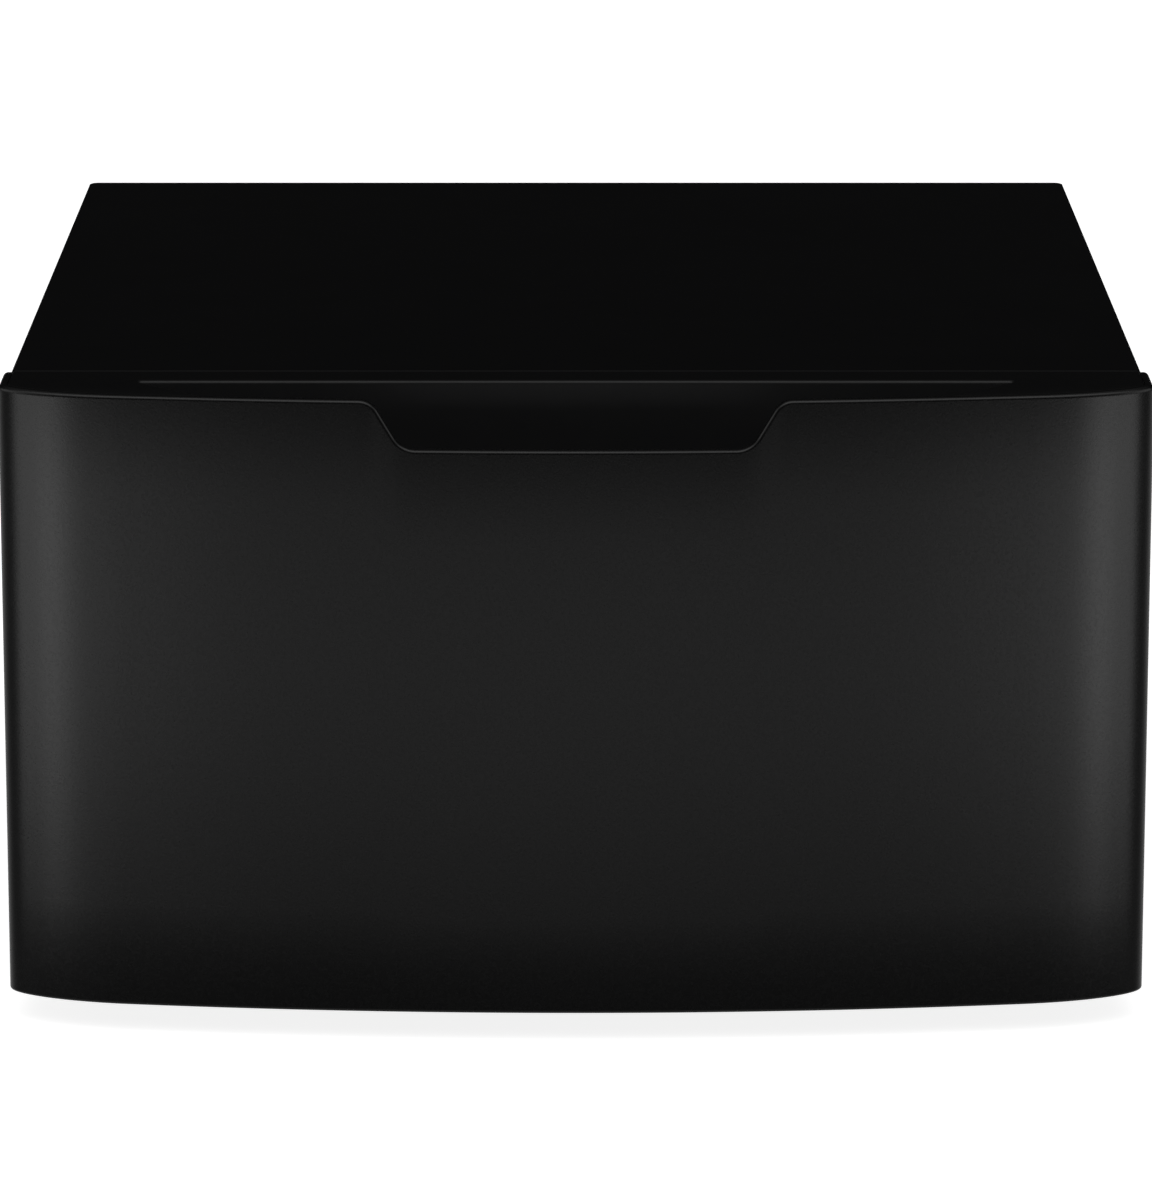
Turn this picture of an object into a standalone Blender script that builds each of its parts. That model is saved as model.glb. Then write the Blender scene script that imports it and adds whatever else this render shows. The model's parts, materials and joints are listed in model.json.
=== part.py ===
"""Laundry pedestal with a full-width storage drawer.

A sheet-steel cabinet stands on four levelling feet. Its bow-fronted drawer has a recessed finger pull
behind a notch, and runs on three-member full-extension ball slides.

Metres, +Z up. The origin is on the floor under the middle of the object, and the front looks along -Y.
Every piece hangs on the empty cabinet_front, so in this file y = 0 is the front face of the cabinet.
"""

import math

import bmesh
import bpy
from mathutils import Matrix, Vector

MM = 0.001
GAP = 0.3 * MM

# Driving dimensions
FRONT_WIDTH = 711 * MM
CABINET_WIDTH = 702 * MM
CABINET_DEPTH = 686 * MM
FRONT_DEPTH = 95 * MM
HEIGHT = 406 * MM
BASE_Z = 26 * MM

# Sheet gauges and bend radius
TOP_SHEET = 1.0 * MM
SIDE_SHEET = 0.8 * MM
BACK_SHEET = 0.6 * MM
RAIL_SHEET = 1.2 * MM
SKIN_SHEET = 0.8 * MM
BOX_SHEET = 0.8 * MM
BEND = 2 * MM

# Bowed drawer front
BOW_RADIUS = 2032 * MM
CORNER_WIDTH = 76 * MM
CORNER_DEPTH = 24 * MM
FRONT_BOTTOM = 18.5 * MM
FRONT_BACK_Y = -3 * MM
LIP_RADIUS = 2.5 * MM
LIP_FLANGE = 3 * MM
BACKING_FLANGE = 14 * MM
TRIM_THICK = 1.8 * MM

# Notch in the front's top edge
NOTCH_TOP_HALF = 125 * MM
NOTCH_BOTTOM_HALF = 106.7 * MM
NOTCH_DEPTH = 30.5 * MM
NOTCH_TOP_ROUND = 13 * MM
NOTCH_BOTTOM_ROUND = 16 * MM

# Moulded cap with the finger pocket
CAP_TOP = HEIGHT - 0.1 * MM
CAP_BACK_Y = -1 * MM
CAP_WALL = 2.5 * MM
POCKET_BACK_Y = -29 * MM
POCKET_BACK_HALF = 272 * MM
POCKET_FRONT_HALF = 226 * MM
POCKET_DEPTH = 60 * MM
POCKET_FILLET = 12 * MM
POCKET_BRIM = 2.5 * MM
POCKET_FRONT_INSET = SKIN_SHEET + 1 * MM + CAP_WALL

# Cabinet
CABINET_HALF = CABINET_WIDTH / 2
TOP_FLANGE = 16 * MM
UNDER_TOP = HEIGHT - TOP_SHEET - GAP
SIDE_OUTER_X = CABINET_HALF - TOP_SHEET - GAP
SIDE_INNER_X = SIDE_OUTER_X - SIDE_SHEET
SIDE_FRONT_Y = 1.8 * MM
SIDE_BACK_Y = 681 * MM
SIDE_FLANGE = 16 * MM
OPENING_TOP = 362 * MM
OPENING_BOTTOM = 62 * MM
RAIL_DEPTH = 44 * MM
REAR_RAIL_Y = SIDE_BACK_Y - SIDE_SHEET - GAP - RAIL_DEPTH

# Ball slides: t is the distance from the cabinet's mounting face towards the drawer
SLIDE_Z = 170 * MM
SLIDE_LENGTH = 558 * MM
SLIDE_START_Y = 10 * MM
SLIDE_OUTER_X = 332 * MM
SLIDE_THICK = 12.7 * MM
SLIDE_SHEET = 1.2 * MM
OUTER_HALF = 22.9 * MM
CAGE_LENGTH = 260 * MM
CAGE_START_Y = 150 * MM
CAGE_SHEET = 0.8 * MM
LEVER_Y = 470 * MM
LEVER_LENGTH = 62 * MM
LEVER_SHEET = 1.5 * MM

# Drawer box
BOX_OUTER_X = 319 * MM
BOX_BOTTOM = 70 * MM
BOX_TOP = 352 * MM
BOX_FRONT_Y = -3 * MM
BOX_BACK_Y = 590 * MM
BOX_HALF = BOX_OUTER_X - BOX_SHEET - 2 * GAP
FLOOR_Z = BOX_BOTTOM + BOX_SHEET + GAP
FLOOR_FLANGE = 10 * MM
HEM = 8 * MM
SCREW_X = 292 * MM
SCREW_HEIGHTS = {"lower": 118 * MM, "upper": 306 * MM}
DIVIDER_Y = 300 * MM
DIVIDER_SHEET = 3.2 * MM
DIVIDER_HOOK = 2.4 * MM
DIVIDER_PLAY = 0.6 * MM

# Levelling feet
FOOT_X = 300 * MM
FOOT_YS = {"front": 24 * MM, "rear": 658 * MM}
STUD_RADIUS = 4.9 * MM
CLEAR_RADIUS = 5.4 * MM
PAD_HEIGHT = 8 * MM
COLLAR_TOP = 13 * MM
NUT_HEIGHT = 6 * MM
STUD_TOP = 58 * MM
PLATE_THICK = 3 * MM

# Colour, roughness and metallic value of each finish
FINISHES = {
    "front_paint": ((0.0035, 0.0035, 0.0036), 0.27, 0.0),
    "cabinet_paint": ((0.004, 0.004, 0.0043), 0.29, 0.0),
    "cap_plastic": ((0.0042, 0.0042, 0.0044), 0.29, 0.0),
    "box_paint": ((0.22, 0.23, 0.24), 0.5, 0.2),
    "galvanised": ((0.55, 0.57, 0.58), 0.45, 0.9),
    "slide_zinc": ((0.62, 0.64, 0.66), 0.3, 1.0),
    "fastener_zinc": ((0.66, 0.67, 0.66), 0.28, 1.0),
    "lever_plastic": ((0.03, 0.03, 0.03), 0.5, 0.0),
    "divider_plastic": ((0.30, 0.31, 0.32), 0.55, 0.0),
    "rubber": ((0.025, 0.025, 0.025), 0.8, 0.0),
}


# ---------------------------------------------------------------- scene and objects


def clear_scene():
    for old in list(bpy.data.objects):
        bpy.data.objects.remove(old)


def make_materials():
    made = {}
    for name, (colour, roughness, metallic) in FINISHES.items():
        material = bpy.data.materials.new(name)
        material.use_nodes = True
        shader = material.node_tree.nodes["Principled BSDF"]
        shader.inputs["Base Color"].default_value = (*colour, 1)
        shader.inputs["Roughness"].default_value = roughness
        shader.inputs["Metallic"].default_value = metallic
        made[name] = material
    return made


def add_object(name, mesh, finish, location=(0, 0, 0), smooth=False):
    """A named piece with its origin at location."""
    obj = bpy.data.objects.new(name, mesh)
    bpy.context.scene.collection.objects.link(obj)
    obj.parent = FRONT_FACE
    obj.location = location
    if finish:
        mesh.materials.clear()
        mesh.materials.append(MATERIALS[finish])
    if smooth:
        mesh.shade_smooth()
        mesh.set_sharp_from_angle(angle=math.radians(35))
    return obj


def finish_mesh(bm, name, turn_outward=True):
    if turn_outward:
        bmesh.ops.recalc_face_normals(bm, faces=bm.faces)
    mesh = bpy.data.meshes.new(name)
    bm.to_mesh(mesh)
    bm.free()
    return mesh


def add_cutter(name, mesh, location=(0, 0, 0)):
    """A helper that only Boolean modifiers use."""
    obj = add_object(name, mesh, None, location)
    obj.hide_render = True
    obj.display_type = "WIRE"
    return obj


def add_boolean(obj, operation, other):
    modifier = obj.modifiers.new(operation.title(), "BOOLEAN")
    modifier.operation = operation
    modifier.object = other


def add_sheet(obj, thickness, side):
    """Thickens an open surface on the side that its faces look to (1) or on the other (-1)."""
    modifier = obj.modifiers.new("Sheet", "SOLIDIFY")
    modifier.thickness = thickness
    modifier.offset = side
    modifier.use_even_offset = True
    modifier.use_quality_normals = True


# ---------------------------------------------------------------- outlines


def direction(a, b):
    return Vector((b[0] - a[0], b[1] - a[1])).normalized()


def left_of(a, b):
    """Unit vector to the left of the way from a to b."""
    along = direction(a, b)
    return Vector((-along.y, along.x))


def rounded(points, radii, steps=2, closed=False):
    """The outline with an arc in place of each corner. radii is one radius, or one for each point."""
    if not isinstance(radii, (list, tuple)):
        radii = [radii] * len(points)
    made = []
    for i, (point, radius) in enumerate(zip(points, radii)):
        if radius <= 0 or (not closed and i in (0, len(points) - 1)):
            made.append(tuple(point))
            continue
        back, ahead = direction(point, points[i - 1]), direction(point, points[(i + 1) % len(points)])
        half = back.angle(ahead) / 2
        centre = Vector(point) + (back + ahead).normalized() * (radius / math.sin(half))
        first = Vector(point) + back * (radius / math.tan(half)) - centre
        last = Vector(point) + ahead * (radius / math.tan(half)) - centre
        sweep = -first.angle_signed(last)
        for k in range(steps + 1):
            made.append(tuple(centre + Matrix.Rotation(sweep * k / steps, 2) @ first))
    return made


def shifted(points, distance, closed=False):
    """The outline moved to the left of its direction, with mitred corners."""
    count = len(points)
    made = []
    for i, point in enumerate(points):
        sides = []
        if closed or i > 0:
            sides.append(left_of(points[i - 1], point))
        if closed or i < count - 1:
            sides.append(left_of(point, points[(i + 1) % count]))
        middle = sum(sides, Vector((0, 0))).normalized()
        made.append(tuple(Vector(point) + middle * (distance / middle.dot(sides[0]))))
    return made


def folded(path, sheet, radii=BEND, steps=2):
    """Section of a folded sheet that lies to the left of the path."""
    face = rounded(path, radii, steps)
    return face + shifted(face, sheet)[::-1]


def mirrored(outline):
    return [(-a, b) for a, b in reversed(outline)]


def circle(radius, count):
    turns = [2 * math.pi * i / count for i in range(count)]
    return [(radius * math.cos(turn), radius * math.sin(turn)) for turn in turns]


def rectangle(low, high):
    return [(low[0], low[1]), (high[0], low[1]), (high[0], high[1]), (low[0], high[1])]


def side_sign(side):
    return -1 if side == "left" else 1


# ---------------------------------------------------------------- solids


def lift(point, axis, along):
    """A point of the plane across an axis, in 3D. The plane's two directions run in X, Y, Z order."""
    a, b = point
    return {"X": (along, a, b), "Y": (a, along, b), "Z": (a, b, along)}[axis]


def prism_mesh(name, outline, axis, start, stop):
    bm = bmesh.new()
    face = bm.faces.new([bm.verts.new(lift(point, axis, start)) for point in outline])
    extruded = bmesh.ops.extrude_face_region(bm, geom=[face])["geom"]
    moved = [item for item in extruded if isinstance(item, bmesh.types.BMVert)]
    bmesh.ops.translate(bm, verts=moved, vec=lift((0, 0), axis, stop - start))
    return finish_mesh(bm, name)


def prism(name, outline, axis, start, stop, finish, location=(0, 0, 0), smooth=False):
    return add_object(name, prism_mesh(name, outline, axis, start, stop), finish, location, smooth)


def turned_mesh(name, profile, sides):
    """A solid turned about Z from (radius, height) points, whose first and last points lie on the axis."""
    bm = bmesh.new()
    verts = [bm.verts.new((radius, 0, z)) for radius, z in profile]
    edges = [bm.edges.new(pair) for pair in zip(verts, verts[1:])]
    ring = {"cent": (0, 0, 0), "axis": (0, 0, 1), "angle": 2 * math.pi, "steps": sides}
    bmesh.ops.spin(bm, geom=verts + edges, **ring)
    bmesh.ops.remove_doubles(bm, verts=bm.verts, dist=0.01 * MM)
    return finish_mesh(bm, name)


def join_rings(bm, rings):
    for low, high in zip(rings, rings[1:]):
        for i in range(len(low)):
            j = (i + 1) % len(low)
            bm.faces.new((low[i], low[j], high[j], high[i]))


def lofted_mesh(name, layers):
    """A solid through (outline, z) pairs whose outlines have the same number of points."""
    bm = bmesh.new()
    rings = [[bm.verts.new((x, y, z)) for x, y in outline] for outline, z in layers]
    join_rings(bm, rings)
    bm.faces.new(rings[0])
    bm.faces.new(rings[-1])
    return finish_mesh(bm, name)


def dished_mesh(name, rings):
    """An open surface through nested rings of points, the last of them filled."""
    bm = bmesh.new()
    rings = [[bm.verts.new(point) for point in ring] for ring in rings]
    join_rings(bm, rings)
    bm.faces.new(rings[-1])
    return finish_mesh(bm, name)


# ---------------------------------------------------------------- plan of the bowed front


def bow_y(x):
    """Y of the front's outer face where it only bows."""
    return x * x / (2 * BOW_RADIUS) - FRONT_DEPTH


def front_plan(bow_xs, corner_steps=5):
    """(x, y) points of the front's outer face from above, from the left return round to the right one."""
    bow_half = FRONT_WIDTH / 2 - CORNER_WIDTH
    right = []
    for k in range(corner_steps + 1):
        turn = math.pi / 2 * k / corner_steps
        x = bow_half + CORNER_WIDTH * math.sin(turn)
        right.append((x, bow_y(x) + CORNER_DEPTH * (1 - math.cos(turn))))
    right.append((FRONT_WIDTH / 2, FRONT_BACK_Y))
    return mirrored(right) + [(x, bow_y(x)) for x in sorted(bow_xs)] + right


def inset_plan(distance, back_y, bow_steps=9):
    """Closed plan of a piece inside the front, the given distance behind its outer face."""
    bow_half = FRONT_WIDTH / 2 - CORNER_WIDTH
    bow_xs = [bow_half * (2 * k / bow_steps - 1) for k in range(1, bow_steps)]
    inner = shifted(front_plan(bow_xs), distance)
    return [(inner[0][0], back_y), *inner[1:-1], (inner[-1][0], back_y)]


def notch_edge():
    """(x, z) points of the front's top edge, from left to right, with the notch in its middle."""
    left = [
        (-FRONT_WIDTH / 2, HEIGHT),
        (-NOTCH_TOP_HALF, HEIGHT),
        (-NOTCH_BOTTOM_HALF, HEIGHT - NOTCH_DEPTH),
    ]
    rounds = [0, NOTCH_TOP_ROUND, NOTCH_BOTTOM_ROUND]
    return rounded(left + mirrored(left), rounds + rounds[::-1], steps=3)


# ---------------------------------------------------------------- drawer front


def skin_column(point, inward, top, rise):
    """Points up one column of the skin: bottom flange and roll, face, top roll and flange.

    inward points horizontally into the drawer front, and rise, in X and Z, out of its top edge.
    """
    spots = [(0, FRONT_BOTTOM, LIP_RADIUS + LIP_FLANGE)]
    for turn in (math.radians(degrees) for degrees in (90, 45, 0)):
        z = FRONT_BOTTOM + LIP_RADIUS * (1 - math.sin(turn))
        spots.append((0, z, LIP_RADIUS * (1 - math.cos(turn))))
    spots.append((0, (FRONT_BOTTOM + HEIGHT) / 2, 0))
    for turn in (math.radians(degrees) for degrees in (0, 30, 60, 90)):
        back = LIP_RADIUS * (math.sin(turn) - 1)
        spots.append((rise.x * back, top + rise.y * back, LIP_RADIUS * (1 - math.cos(turn))))
    spots.append((0, top, LIP_RADIUS + LIP_FLANGE))
    x, y = point
    on_face = [(x + dx, y + bow_y(x + dx) - bow_y(x), z, depth) for dx, z, depth in spots]
    return [(px + inward.x * depth, py + inward.y * depth, z) for px, py, z, depth in on_face]


def build_front_skin():
    """The bowed steel face, its edges rolled inward at the top, round the notch and at the bottom."""
    edge = notch_edge()
    up = Vector((0, 1))
    tops = {x: (z, left_of(before, after)) for before, (x, z), after in zip(edge, edge[1:], edge[2:])}
    tops[0] = (HEIGHT - NOTCH_DEPTH, up)
    outer_xs = [sign * (155 + 40 * k) * MM for k in range(4) for sign in (-1, 1)]
    plan = front_plan([*tops, *outer_xs])
    ends = [plan[0], *plan, plan[-1]]

    bm = bmesh.new()
    columns = []
    for before, point, after in zip(ends, plan, ends[2:]):
        top, rise = tops.get(point[0], (HEIGHT, up))
        spots = skin_column(point, left_of(before, after), top, rise)
        columns.append([bm.verts.new(spot) for spot in spots])
    for left, right in zip(columns, columns[1:]):
        for k in range(len(left) - 1):
            bm.faces.new((left[k], right[k], right[k + 1], left[k + 1]))
    mesh = finish_mesh(bm, "front_skin", turn_outward=False)
    skin = add_object("front_skin", mesh, "front_paint", smooth=True)
    add_sheet(skin, SKIN_SHEET, side=-1)


def pocket_outline(grow, front_inset, front_steps=7):
    """Closed plan of the finger pocket with its back and its slanted ends moved outward by grow."""
    front_corner = (-POCKET_FRONT_HALF, bow_y(POCKET_FRONT_HALF) + POCKET_FRONT_INSET)
    slant = direction((-POCKET_BACK_HALF, POCKET_BACK_Y), front_corner)
    sideways = grow / abs(slant.y)
    corner_x = POCKET_BACK_HALF + sideways - grow * slant.x / slant.y
    reach = POCKET_FRONT_HALF + sideways
    xs = [reach * (2 * k / front_steps - 1) for k in range(front_steps + 1)]
    front = [(x, bow_y(x) + front_inset) for x in xs]
    back_y = POCKET_BACK_Y + grow
    return [(-corner_x, back_y), *front, (corner_x, back_y)]


def pocket_layers(outside):
    """(outline, z) up the pocket's floor fillet: of the hollow, or of its wall's outside."""
    radius = POCKET_FILLET + outside
    layers = []
    for turn in (math.radians(degrees) for degrees in (90, 60, 30, 0)):
        shrink = radius * (1 - math.cos(turn)) - outside
        z = HEIGHT - POCKET_DEPTH + POCKET_FILLET - radius * math.sin(turn)
        layers.append((pocket_outline(-shrink, POCKET_FRONT_INSET + shrink), z))
    return layers


def build_handle_cap():
    """The moulded top of the drawer front, with the finger pocket hanging in it."""
    plan = inset_plan(LIP_RADIUS + LIP_FLANGE + 2 * GAP, CAP_BACK_Y)
    cap = prism("handle_cap", plan, "Z", CAP_TOP - CAP_WALL, CAP_TOP, "cap_plastic", smooth=True)

    wall_outside = pocket_layers(CAP_WALL)
    wall_outside.append((wall_outside[-1][0], CAP_TOP - CAP_WALL / 2))
    add_boolean(cap, "UNION", add_cutter("cap_wall", lofted_mesh("cap_wall", wall_outside)))

    hollow = pocket_layers(0)
    for turn in (math.radians(degrees) for degrees in (0, 30, 60, 90)):
        flare = POCKET_BRIM * (1 - math.cos(turn))
        z = CAP_TOP - POCKET_BRIM * (1 - math.sin(turn))
        hollow.append((pocket_outline(flare, POCKET_FRONT_INSET), z))
    hollow.append((hollow[-1][0], CAP_TOP + CAP_WALL))
    add_boolean(cap, "DIFFERENCE", add_cutter("cap_hollow", lofted_mesh("cap_hollow", hollow)))

    edge = shifted(notch_edge()[1:-1], -(SKIN_SHEET + 4 * GAP))
    above = HEIGHT + CAP_WALL
    outline = [(edge[0][0], above), *edge, (edge[-1][0], above)]
    gate = prism_mesh("cap_gate", outline, "Y", -FRONT_DEPTH, bow_y(0) + 20 * MM)
    add_boolean(cap, "DIFFERENCE", add_cutter("cap_gate", gate))


def build_backing():
    """The flat steel back of the drawer front, flanged forward all round."""
    half = FRONT_WIDTH / 2 - SKIN_SHEET - GAP
    low, high = (-half, FRONT_BOTTOM + 4 * MM), (half, HEIGHT - 4 * MM)
    back_y = FRONT_BACK_Y - GAP
    ring = rounded(rectangle(low, high), 4 * MM, closed=True)
    rings = [[(x, y, z) for x, z in ring] for y in (back_y - BACKING_FLANGE, back_y)]
    mesh = dished_mesh("inner_front", rings)
    plate = add_object("inner_front", mesh, "box_paint")
    add_sheet(plate, BOX_SHEET, side=-1 if mesh.polygons[-1].normal.y > 0 else 1)


def build_bottom_trim():
    plan = inset_plan(LIP_RADIUS + GAP, FRONT_BACK_Y - GAP)
    base = FRONT_BOTTOM + SKIN_SHEET + GAP
    prism("bottom_trim", plan, "Z", base, base + TRIM_THICK, "cap_plastic", smooth=True)


# ---------------------------------------------------------------- drawer box


def build_drawer_sides():
    """Side walls with a flange turned inward under the floor and a hem turned outward at the top."""
    path = [
        (BOX_OUTER_X - HEM - 5 * MM, BOX_BOTTOM),
        (BOX_OUTER_X, BOX_BOTTOM),
        (BOX_OUTER_X, BOX_TOP),
        (BOX_OUTER_X + HEM, BOX_TOP),
        (BOX_OUTER_X + HEM, BOX_TOP - HEM),
    ]
    section = folded(path, BOX_SHEET, [0, BEND, BEND - BOX_SHEET, BEND - BOX_SHEET, 0])
    prism("drawer_side_right", section, "Y", BOX_FRONT_Y, BOX_BACK_Y, "box_paint")
    prism("drawer_side_left", mirrored(section), "Y", BOX_FRONT_Y, BOX_BACK_Y, "box_paint")


def build_drawer_plates():
    """Floor, front wall and back wall of the drawer box, between its sides."""
    wall = BOX_SHEET + GAP
    start, stop = BOX_FRONT_Y + wall, BOX_BACK_Y - wall
    flange_top = FLOOR_Z + FLOOR_FLANGE
    floor = [(start, flange_top), (start, FLOOR_Z), (stop, FLOOR_Z), (stop, flange_top)]
    floor_half = BOX_HALF - BEND
    prism("drawer_bottom", folded(floor, BOX_SHEET), "X", -floor_half, floor_half, "box_paint")

    hemmed = folded([(HEM, BOX_TOP - HEM), (HEM, BOX_TOP), (0, BOX_TOP), (0, FLOOR_Z)], BOX_SHEET)
    front_section = [(BOX_FRONT_Y + y, z) for y, z in hemmed]
    back_section = [(BOX_BACK_Y - y, z) for y, z in hemmed]
    prism("drawer_front_wall", front_section, "X", -BOX_HALF, BOX_HALF, "box_paint")
    prism("drawer_back", back_section, "X", -BOX_HALF, BOX_HALF, "box_paint")


def build_front_screws():
    """Pan-head screws that hold the drawer front to the box, with their heads inside the box."""
    head, head_high, shank, length, sides = 4.6 * MM, 2.8 * MM, 1.9 * MM, 9.5 * MM, 12
    profile = [
        (0, -length),
        (shank, shank - length),
        (shank, 0),
        (head, 0),
        (head * 0.9, head_high * 0.6),
        (head * 0.5, head_high),
        (0, head_high),
    ]
    mesh = turned_mesh("front_screw", profile, sides)
    bore = shank + GAP
    bore_mesh = turned_mesh("screw_bore", [(0, -length), (bore, -length), (bore, length), (0, length)], sides)
    seat_y = BOX_FRONT_Y + BOX_SHEET + GAP
    for side in ("left", "right"):
        for level, z in SCREW_HEIGHTS.items():
            spot = (side_sign(side) * SCREW_X, seat_y, z)
            screw = add_object(f"front_screw_{level}_{side}", mesh, "fastener_zinc", spot, smooth=True)
            cutter = add_cutter(f"screw_bore_{level}_{side}", bore_mesh, spot)
            for turned in (screw, cutter):
                turned.rotation_euler = (-math.pi / 2, 0, 0)
            for pierced in ("drawer_front_wall", "inner_front"):
                add_boolean(bpy.data.objects[pierced], "DIFFERENCE", cutter)


def build_divider():
    """A ribbed partition that hooks over the hems of the drawer sides and slides along them."""
    half = BOX_HALF - DIVIDER_PLAY
    low, drop = FLOOR_Z + BOX_SHEET + 3 * MM, BOX_TOP - HEM
    hook = BOX_OUTER_X + HEM + BOX_SHEET + DIVIDER_PLAY
    under = BOX_TOP + BOX_SHEET + DIVIDER_PLAY
    right = [
        (half, low),
        (half, under),
        (hook, under),
        (hook, drop),
        (hook + DIVIDER_HOOK, drop),
        (hook + DIVIDER_HOOK, under + DIVIDER_HOOK),
    ]
    spot = (0, DIVIDER_Y, 0)
    thick = DIVIDER_SHEET / 2
    panel = prism("divider", right + mirrored(right), "Y", -thick, thick, "divider_plastic", spot)
    rib_half, rib_deep, rib_thick = half - 30 * MM, 6 * MM, 2 * MM
    for name, z in (("upper", BOX_TOP - 20 * MM), ("lower", low + 20 * MM)):
        outline = rectangle((-rib_half, -rib_deep), (rib_half, rib_deep))
        rib = prism_mesh(f"divider_rib_{name}", outline, "Z", z, z + rib_thick)
        add_boolean(panel, "UNION", add_cutter(f"divider_rib_{name}", rib, spot))


# ---------------------------------------------------------------- ball slides


def channel(web, edge, half, sheet):
    """Section of a C channel, as (t, z): its web stands at t = web and its flanges reach t = edge."""
    path = [(edge, -half), (web, -half), (web, half), (edge, half)]
    return folded(path, -sheet if edge > web else sheet, 1 * MM, steps=1)


def build_slide(side):
    """The fixed, middle and drawer members of one slide, and the two ball cages between them."""
    outer = channel(0, 11.2 * MM, OUTER_HALF, SLIDE_SHEET)
    middle = channel(4.2 * MM, 11.2 * MM, 17.6 * MM, SLIDE_SHEET)
    inner = channel(SLIDE_THICK, 7.2 * MM, 12.2 * MM, SLIDE_SHEET)
    outer_cage = channel(2 * MM, 10 * MM, 20.1 * MM, CAGE_SHEET)
    inner_cage = channel(5.9 * MM, 10.6 * MM, 14.7 * MM, CAGE_SHEET)
    members = (
        ("slide_outer", outer, SLIDE_START_Y, SLIDE_LENGTH, "slide_zinc"),
        ("slide_middle", middle, SLIDE_START_Y, SLIDE_LENGTH - 4 * MM, "slide_zinc"),
        ("slide_inner", inner, SLIDE_START_Y, SLIDE_LENGTH - 8 * MM, "slide_zinc"),
        ("ball_cage_outer", outer_cage, CAGE_START_Y, CAGE_LENGTH, "galvanised"),
        ("ball_cage_inner", inner_cage, CAGE_START_Y, CAGE_LENGTH, "galvanised"),
    )
    for name, section, start, length, finish in members:
        outline = [(side_sign(side) * (SLIDE_OUTER_X - t), z) for t, z in section]
        prism(f"{name}_{side}", outline, "Y", 0, length, finish, (0, start, SLIDE_Z))


def build_release_lever(side):
    """The plastic lever in the inner slide member that frees the drawer from its slides."""
    hub, tail, neck = 4.5 * MM, 3.4 * MM, 2.2 * MM
    lower = [
        (-LEVER_LENGTH, -tail),
        (-LEVER_LENGTH + 16 * MM, -tail),
        (-LEVER_LENGTH + 22 * MM, -neck),
        (-6 * MM, -neck),
        (-3 * MM, -hub),
        (3 * MM, -hub),
        (5 * MM, 0),
    ]
    upper = [(y, -z) for y, z in reversed(lower[:-1])]
    sign = side_sign(side)
    spot = (sign * (SLIDE_OUTER_X - SLIDE_THICK + SLIDE_SHEET + 2 * GAP), LEVER_Y, SLIDE_Z)
    prism(f"release_lever_{side}", lower + upper, "X", 0, sign * LEVER_SHEET, "lever_plastic", spot)


# ---------------------------------------------------------------- cabinet


def build_top_panel():
    """The flat top, with a softened edge and a flange turned down all round."""
    corners = rectangle((-CABINET_HALF, 0), (CABINET_HALF, CABINET_DEPTH))
    edge = 2 * MM
    rings = []
    for inset, fall in ((0, TOP_FLANGE), (0, edge), (edge * 0.3, edge * 0.3), (edge, 0)):
        ring = rounded(shifted(corners, inset, closed=True), 4 * MM, closed=True)
        rings.append([(x, y, HEIGHT - fall) for x, y in ring])
    mesh = dished_mesh("top_panel", rings)
    panel = add_object("top_panel", mesh, "cabinet_paint", smooth=True)
    add_sheet(panel, TOP_SHEET, side=-1 if mesh.polygons[-1].normal.z > 0 else 1)


def build_side_panels():
    inner = SIDE_OUTER_X - SIDE_FLANGE
    path = [
        (inner, SIDE_FRONT_Y + 12 * MM),
        (inner, SIDE_FRONT_Y),
        (SIDE_OUTER_X, SIDE_FRONT_Y),
        (SIDE_OUTER_X, SIDE_BACK_Y),
        (inner, SIDE_BACK_Y),
    ]
    section = folded(path, SIDE_SHEET)
    top = UNDER_TOP - 4 * GAP
    prism("side_panel_right", section, "Z", BASE_Z, top, "cabinet_paint")
    prism("side_panel_left", mirrored(section), "Z", BASE_Z, top, "cabinet_paint")


def build_back_panel():
    """Flat sheet on the side panels' rear flanges, stiffened by a raised field."""
    half = SIDE_INNER_X - 1 * MM
    corners = rectangle((-half, BASE_Z + 4 * MM), (half, UNDER_TOP - 1 * MM))
    face_y, field = SIDE_BACK_Y + GAP, 2 * MM
    rings = []
    for inset, round_by, out in ((0, 3 * MM, 0), (52 * MM, 16 * MM, 0), (58 * MM, 16 * MM, field)):
        ring = rounded(shifted(corners, inset, closed=True), round_by, closed=True)
        rings.append([(x, face_y + out, z) for x, z in ring])
    mesh = dished_mesh("back_panel", rings)
    panel = add_object("back_panel", mesh, "galvanised")
    add_sheet(panel, BACK_SHEET, side=1 if mesh.polygons[-1].normal.y > 0 else -1)


def build_base():
    """Channel rails across the front and the rear, and angles along the sides between them."""
    half = SIDE_INNER_X - GAP
    between = SIDE_OUTER_X - SIDE_FLANGE - GAP
    front, back = SIDE_FRONT_Y, SIDE_FRONT_Y + RAIL_DEPTH
    sill = [(back, OPENING_BOTTOM), (front, OPENING_BOTTOM), (front, BASE_Z), (back, BASE_Z)]
    prism("base_rail_front", folded(sill, RAIL_SHEET), "X", -between, between, "cabinet_paint")

    rear = REAR_RAIL_Y + RAIL_DEPTH
    tail = [(REAR_RAIL_Y, BASE_Z), (rear, BASE_Z), (rear, OPENING_BOTTOM), (REAR_RAIL_Y, OPENING_BOTTOM)]
    prism("base_rail_rear", folded(tail, RAIL_SHEET), "X", BEND - half, half - BEND, "galvanised")

    ledge = [(half - 30 * MM, BASE_Z), (half, BASE_Z), (half, BASE_Z + 32 * MM)]
    section = folded(ledge, RAIL_SHEET)
    start, stop = back + 1 * MM, REAR_RAIL_Y - 1 * MM
    prism("base_rail_right", section, "Y", start, stop, "galvanised")
    prism("base_rail_left", mirrored(section), "Y", start, stop, "galvanised")


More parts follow.
